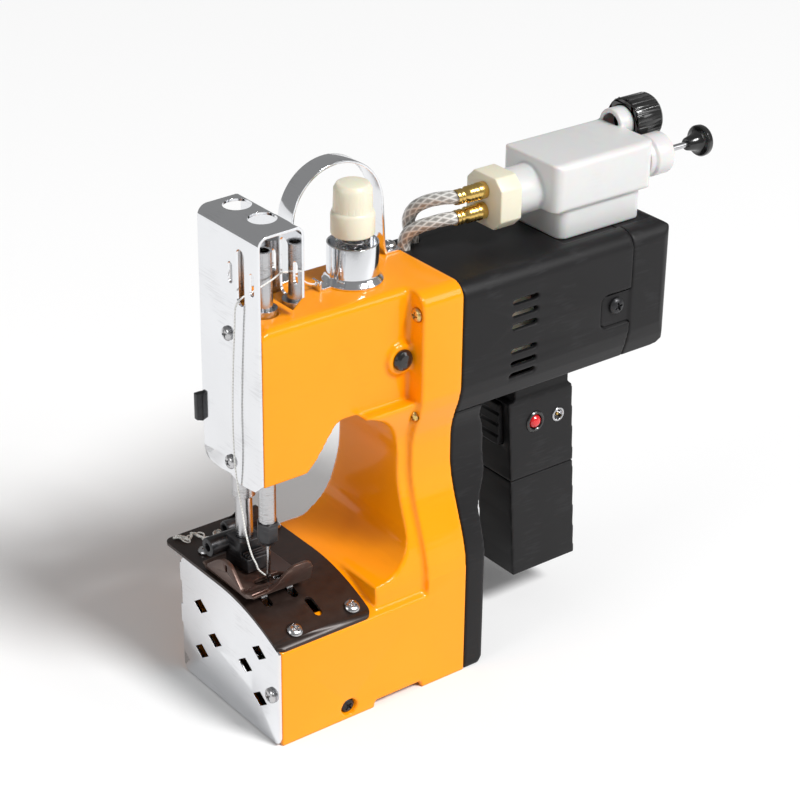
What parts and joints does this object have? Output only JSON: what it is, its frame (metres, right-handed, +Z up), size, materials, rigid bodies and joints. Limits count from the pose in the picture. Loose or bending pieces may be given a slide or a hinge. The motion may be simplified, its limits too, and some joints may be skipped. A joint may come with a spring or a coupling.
{
  "type": "bag closer sewing machine",
  "caption": "Hand-held bag-closing sewing machine: orange arm and base, black motor housing with grip battery, thread tension, presser foot, oil bottle with hoses.",
  "frame": {"origin": "on the underside of the base, below the needle axis, in the middle plane of the base", "axes": "+X from the needle towards the motor, +Z up along the needle bar, +Y to the left side away from the cutaway side"},
  "size_m": [0.2757, 0.095, 0.2511],
  "materials": {
    "orange_paint": "gloss enamel",
    "chromed_sheet": "polished",
    "dark_plate": "satin",
    "black_plastic": "satin",
    "steel": "ground",
    "dark_steel": "blackened",
    "zinc_yellow": "plated",
    "brass": "machined",
    "natural_nylon": "smooth",
    "bottle_plastic": "translucent white",
    "hose": "braided",
    "rubber": "matt",
    "knob_black": "smooth",
    "button_red": "smooth",
    "copper": "enamelled winding",
    "cast_iron": "machined",
    "thread": "twisted",
    "cell_wrap": "shrink wrap"
  },
  "bodies": {
    "machine": {"main_frame": "orange_paint", "bottom_cover": "dark_steel", "front_cover": "chromed_sheet", "needle_plate": "dark_plate", "face_cover": "chromed_sheet", "rear_cover": "black_plastic", "motor_housing": "black_plastic", "end_cap": "black_plastic", "grip_case": "black_plastic", "motor_stator": "copper", "motor_bearings": "steel", "shaft_bearings": "steel", "drive_belt": "rubber", "needle_bar_bushes": "steel", "presser_bar_sleeve": "steel", "tension_cup": "chromed_sheet", "tension_discs": "chromed_sheet", "tension_spring": "steel", "thread_arch": "chromed_sheet", "oil_bottle": "bottle_plastic", "hose_manifold": "natural_nylon", "hose_barbs": "brass", "oil_hose_upper": "hose", "oil_hose_lower": "hose", "pump_cylinder": "bottle_plastic", "thread_cutter": "dark_steel", "needle_thread": "thread", "thread_tail": "thread", "pan_screws": "steel", "flange_screws": "zinc_yellow", "black_screws": "dark_steel", "lever_pin": "dark_steel", "charge_socket": "steel", "trigger_switch": "black_plastic", "presser_spring": "steel", "plunger_spring": "steel"},
    "motor_rotor": {"armature": "copper", "cooling_fan": "natural_nylon", "motor_pulley": "steel"},
    "main_drive": {"main_shaft": "steel", "main_pulley": "steel"},
    "rocker": {"needle_lever": "cast_iron"},
    "link_rod": {"connecting_rod": "cast_iron"},
    "needle_slide": {"needle_bar": "steel", "bar_clamp": "cast_iron", "needle_nut": "dark_steel", "needle": "steel"},
    "looper_arm": {"looper": "steel"},
    "feed": {"feed_dog": "steel"},
    "presser": {"presser_bar": "steel", "presser_shank": "dark_steel", "presser_foot": "dark_plate"},
    "foot_lifter": {"lift_lever": "steel"},
    "tension_knob": {"tension_nut": "natural_nylon"},
    "filler_cap": {"oil_cap": "knob_black"},
    "plunger": {"pump_plunger": "knob_black"},
    "trigger_key": {"trigger": "black_plastic"},
    "button_key": {"power_button": "button_red"},
    "battery": {"battery_case": "black_plastic", "battery_cells": "cell_wrap"}
  },
  "joints": [
    {"name": "motor_spin", "type": "hinge", "parent": "machine", "child": "motor_rotor", "pos_m": [0.15, 0, 0.164], "axis": [1, 0, 0], "continuous": true},
    {"name": "main_spin", "type": "hinge", "parent": "machine", "child": "main_drive", "pos_m": [0.05, 0, 0.03], "axis": [1, 0, 0], "continuous": true},
    {"name": "lever_rock", "type": "hinge", "parent": "machine", "child": "rocker", "pos_m": [0.0605, 0, 0.1675], "axis": [0, 1, 0], "range_deg": [-11.13, 16.7]},
    {"name": "rod_slide", "type": "slide", "parent": "machine", "child": "link_rod", "axis": [0, 0, 1], "range_m": [-0.0046, 0.0031]},
    {"name": "needle_stroke", "type": "slide", "parent": "machine", "child": "needle_slide", "axis": [0, 0, 1], "range_m": [-0.0125, 0.0185]},
    {"name": "looper_rock", "type": "hinge", "parent": "machine", "child": "looper_arm", "pos_m": [0.01, 0.022, 0.034], "axis": [1, 0, 0], "range_deg": [-10.5, 7.5]},
    {"name": "feed_stroke", "type": "slide", "parent": "machine", "child": "feed", "axis": [0, 1, 0], "range_m": [-0.0026, 0.0026]},
    {"name": "lifter_turn", "type": "hinge", "parent": "machine", "child": "foot_lifter", "pos_m": [0.008, 0.024, 0.1445], "axis": [0, 1, 0], "range_deg": [0, 42.5]},
    {"name": "presser_lift", "type": "slide", "parent": "machine", "child": "presser", "axis": [0, 0, 1], "range_m": [0, 0.008], "deforming": ["presser_spring"]},
    {"name": "tension_turn", "type": "hinge", "parent": "machine", "child": "tension_knob", "pos_m": [0.0515, 0, 0.234], "axis": [0, 0, 1], "continuous": true},
    {"name": "cap_turn", "type": "hinge", "parent": "machine", "child": "filler_cap", "pos_m": [0.22, 0.01, 0.2347], "axis": [1, 0, 0], "continuous": true},
    {"name": "plunger_press", "type": "slide", "parent": "machine", "child": "plunger", "axis": [-1, 0, 0], "range_m": [0, 0.012], "stiffness_N_per_m": 150, "deforming": ["plunger_spring"]},
    {"name": "trigger_pull", "type": "slide", "parent": "machine", "child": "trigger_key", "axis": [1, 0, 0], "range_m": [0, 0.005], "stiffness_N_per_m": 300},
    {"name": "button_press", "type": "slide", "parent": "machine", "child": "button_key", "axis": [0, 1, 0], "range_m": [0, 0.0015], "stiffness_N_per_m": 400},
    {"name": "battery_slide", "type": "slide", "parent": "machine", "child": "battery", "axis": [0.0698, 0, -0.9976], "range_m": [0, 0.06]}
  ],
  "couplings": [
    {"joint": "main_spin", "follows": "motor_spin", "ratio": 0.33333},
    {"joint": "rod_slide", "follows": "lever_rock", "m_per_rad": -0.0143},
    {"joint": "needle_stroke", "follows": "lever_rock", "m_per_rad": 0.06177},
    {"joint": "looper_rock", "follows": "lever_rock", "ratio": -0.6},
    {"joint": "feed_stroke", "follows": "lever_rock", "m_per_rad": 0.0085},
    {"joint": "lifter_turn", "follows": "presser_lift", "rad_per_m": 91}
  ]
}
